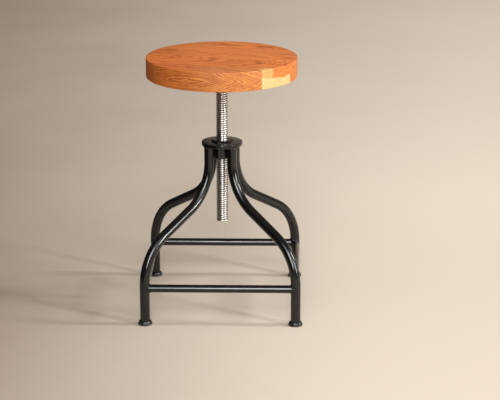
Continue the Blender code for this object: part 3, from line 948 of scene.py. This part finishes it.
    # The rim's colour is darkened, partly by oil soaked into the edge and partly by painted shade that
    # sets the side against the top
    rim = eased(tree, out, seat_radius - seat_edge / 2, seat_radius - seat_edge / 8)
    soaking_and_shade = {0: 1.0, 6: colour, 7: rim_oil_and_shade}
    soaked_and_shaded = node(tree, "Mix", soaking_and_shade, data_type="RGBA", blend_type="MULTIPLY")[2]
    tree.links.new(blended(tree, rim, colour, soaked_and_shaded), result["Colour"])
    tree.links.new(eased(tree, dark, 0.0, 1.0, smoothest, roughest), result["Roughness"])
    tree.links.new(math_node(tree, "MULTIPLY_ADD", pores, pore_sinking, fibre), result["Height"])
    return tree


board_figure = board_figure_group()


def make_board_wood(number, figure):
    """Oiled wood for one board."""
    material, tree, shader, place = new_material(f"board_wood_{number}", roughness=0.48, metallic=0.0)
    wood = node(tree, "Group", {"Vector": place} | plain_board | figure, node_tree=board_figure)
    bump = node(tree, "Bump", {"Height": wood["Height"], "Strength": 0.12, "Distance": 0.0003})
    tree.links.new(wood["Colour"], shader["Base Color"])
    tree.links.new(wood["Roughness"], shader["Roughness"])
    tree.links.new(bump["Normal"], shader["Normal"])
    shader["Specular IOR Level"].default_value = 0.35
    return material


seat_round = turned("seat_round", seat_profile, seat_sides)
for number, figure in enumerate(boards, start=1):
    board = copied(seat_round, f"wood_board_{number}", Matrix.Identity(4))
    edit(board)
    if number > 1:
        near = board_across * seams[number - 2]
        bpy.ops.mesh.bisect(plane_co=near, plane_no=board_across, use_fill=True, clear_inner=True)
        bpy.ops.mesh.select_all(action="SELECT")
    if number < len(boards):
        far = board_across * seams[number - 1]
        bpy.ops.mesh.bisect(plane_co=far, plane_no=board_across, use_fill=True, clear_outer=True)
    close(board)
    riding_seat(board, make_board_wood(number, figure), f"seat_board_{number}")
bpy.data.objects.remove(seat_round)

# Floor. A pale warm-grey paper, laid flat under the stool and rising far away on all sides. Its colour
# holds painted shade, darker to the left, away from the lamps, and close to the lamps themselves, and
# painted light, lighter towards the back.
floor_flat = 12.0
floor_rise = 3.0
floor_rise_steps = 12
floor_top = 9.0
floor_sides = 96
floor_painted_shade = (0.23, 0.162, 0.113, 1)
floor_light = (0.77, 0.667, 0.552, 1)
floor_cloud = 0.25
floor_profile = [
    (0.0, 0.0),
    *arc((floor_flat, floor_rise), floor_rise, -90, 0, floor_rise_steps),
    (floor_flat + floor_rise, floor_top),
]
floor = turned("floor", floor_profile, floor_sides)
paper, tree, shader, place = new_material("floor_paper", roughness=0.85, metallic=0.0)
parts = node(tree, "SeparateXYZ", {"Vector": place})
# Painted shade: the paper's colour darkens to the left, away from the lamps, along a cloudy edge
widening = eased(tree, parts["Y"], low=-0.5, high=4.0, to_low=1.0, to_high=2.6)
towards_light = math_node(tree, "DIVIDE", parts["X"], widening)
cloud = centred(tree, mottled(tree, place, patch_scale=1.3, speck_scale=40.0)["Patches"])
towards_light = math_node(tree, "MULTIPLY_ADD", cloud, floor_cloud, towards_light)
shade = eased(tree, towards_light, low=-1.05, high=0.45)
colour = blended(tree, shade, floor_painted_shade, floor_light)
# Painted light: the paper's colour lightens towards the back
painted_light_and_shade = eased(tree, parts["Y"], low=0.0, high=1.0, to_low=1.0, to_high=1.12)
painted_far_light = eased(tree, parts["Y"], low=1.6, high=4.0, to_low=1.0, to_high=1.08)
painted_light_and_shade = math_node(tree, "MULTIPLY", painted_light_and_shade, painted_far_light)
# Painted shade: the paper's colour darkens close to the lamps
towards_lamps = math_node(tree, "SUBTRACT", parts["X"], parts["Y"])
painted_lamp_shade = eased(tree, towards_lamps, low=1.0, high=6.0, to_low=1.0, to_high=0.25)
painted_light_and_shade = math_node(tree, "MULTIPLY", painted_light_and_shade, painted_lamp_shade)
colour = node(tree, "VectorMath", {0: colour, "Scale": painted_light_and_shade}, operation="SCALE")["Vector"]
tree.links.new(colour, shader["Base Color"])
shader["Specular IOR Level"].default_value = 0.1
floor.data.materials.append(paper)

# Black card. A curved matt black card stands on the left, where only the gloss of the metal sees it, and
# gives the spindle and the tubes their dark side.
card_colour = (0.01, 0.01, 0.01, 1)
card_reach = 0.9
card_height = 1.0
card_sweep = 145
card_start = 245
card_steps = 24
card = drawn("black_card", [(card_reach, 0.0), (card_reach, card_height)])
bpy.ops.mesh.spin(steps=card_steps, angle=math.radians(card_sweep), center=(0, 0, 0), axis=(0, 0, 1))
close(card)
card.data.transform(about_axis(card_start))
card_black, tree, shader, place = new_material("card_black", roughness=0.9, metallic=0.0)
shader["Base Color"].default_value = card_colour
card.data.materials.append(card_black)
card.visible_camera = False
card.visible_diffuse = False
card.visible_shadow = False

# Light. Two narrow lamps on the right, which draw the shadows of the legs, and a strip lamp over the
# camera, with a wide pale sheet behind the lamps on each of these two sides, in a dim room.
light_aim = Vector((0, 0, 0.3))
light_distance = 9.0
room_light = (0.12, 0.12, 0.12, 1)


def soft_light(name, azimuth, elevation, width, height, level):
    """A soft panel aimed at the stool, in degrees. Azimuth 0 is the camera's side and 90 the right."""
    turn = math.radians(azimuth)
    tilt = math.radians(elevation)
    away = Vector((math.sin(turn) * math.cos(tilt), -math.cos(turn) * math.cos(tilt), math.sin(tilt)))
    panel = bpy.data.lights.new(name, "AREA")
    panel.shape = "RECTANGLE"
    panel.size = 2 * light_distance * math.tan(math.radians(width / 2))
    panel.size_y = 2 * light_distance * math.tan(math.radians(height / 2))
    panel.energy = level * (math.pi * light_distance) ** 2
    lamp = bpy.data.objects.new(name, panel)
    lamp.location = light_aim + away * light_distance
    lamp.rotation_euler = away.to_track_quat("Z", "Y").to_euler()
    lamp.visible_camera = False
    bpy.context.scene.collection.objects.link(lamp)


soft_light("side_light", azimuth=88, elevation=30, width=4, height=14, level=0.45)
soft_light("front_light", azimuth=60, elevation=16, width=6, height=20, level=0.52)
soft_light("side_sheet", azimuth=84, elevation=22, width=50, height=36, level=0.17)
soft_light("camera_strip", azimuth=2, elevation=24, width=14, height=30, level=0.58)
soft_light("camera_sheet", azimuth=10, elevation=34, width=54, height=36, level=0.55)
world = bpy.data.worlds.new("room")
world.use_nodes = True
world.node_tree.nodes["Background"].inputs["Color"].default_value = room_light
bpy.context.scene.world = world

# Camera. A long lens well back from the stool and a little to the right of its front, which looks down
# on the seat.
camera = bpy.data.cameras.new("camera")
camera.lens = 126.81
camera.sensor_width = 36.0
viewer = bpy.data.objects.new("camera", camera)
viewer.location = (0.1333, -3.7554, 1.3602)
viewer.rotation_euler = (math.radians(73.3154), 0, math.radians(1.0942))
bpy.context.scene.collection.objects.link(viewer)
bpy.context.scene.camera = viewer
bpy.context.scene.view_settings.view_transform = "Standard"
